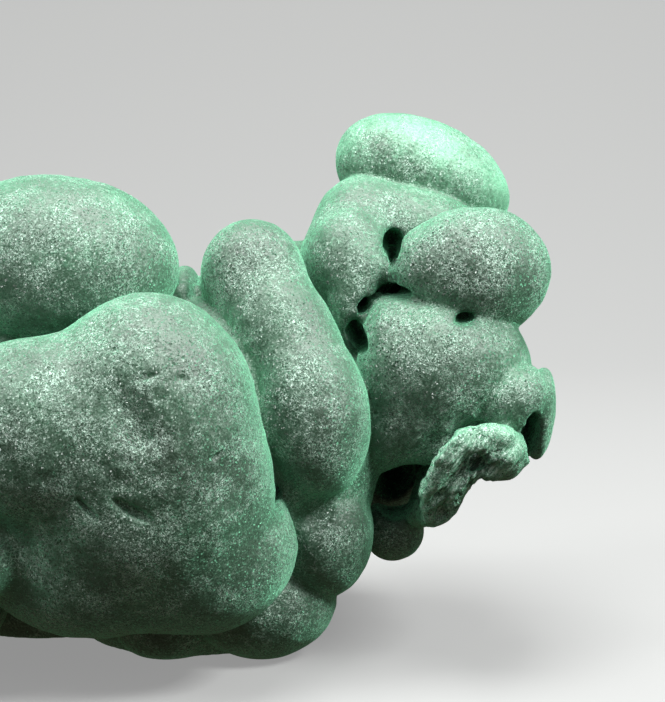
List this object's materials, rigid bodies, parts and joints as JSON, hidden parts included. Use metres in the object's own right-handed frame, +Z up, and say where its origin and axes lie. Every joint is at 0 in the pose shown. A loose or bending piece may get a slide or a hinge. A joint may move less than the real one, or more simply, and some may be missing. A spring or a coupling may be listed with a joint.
{
  "type": "malachite specimen",
  "caption": "Green malachite hand specimen of fused round lobes with deep gaps, a broken lip and a flat broken base that it rests on.",
  "frame": {"origin": "on the ground under the middle of the specimen's box", "axes": "+Z up, -Y towards the side that shows, +X along the length to the tall end"},
  "size_m": [0.0773, 0.0489, 0.0546],
  "materials": {
    "malachite": "velvety dark green with mint rims and fine sparkling crystals"
  },
  "bodies": {
    "root": {"specimen": "malachite"}
  },
  "joints": []
}
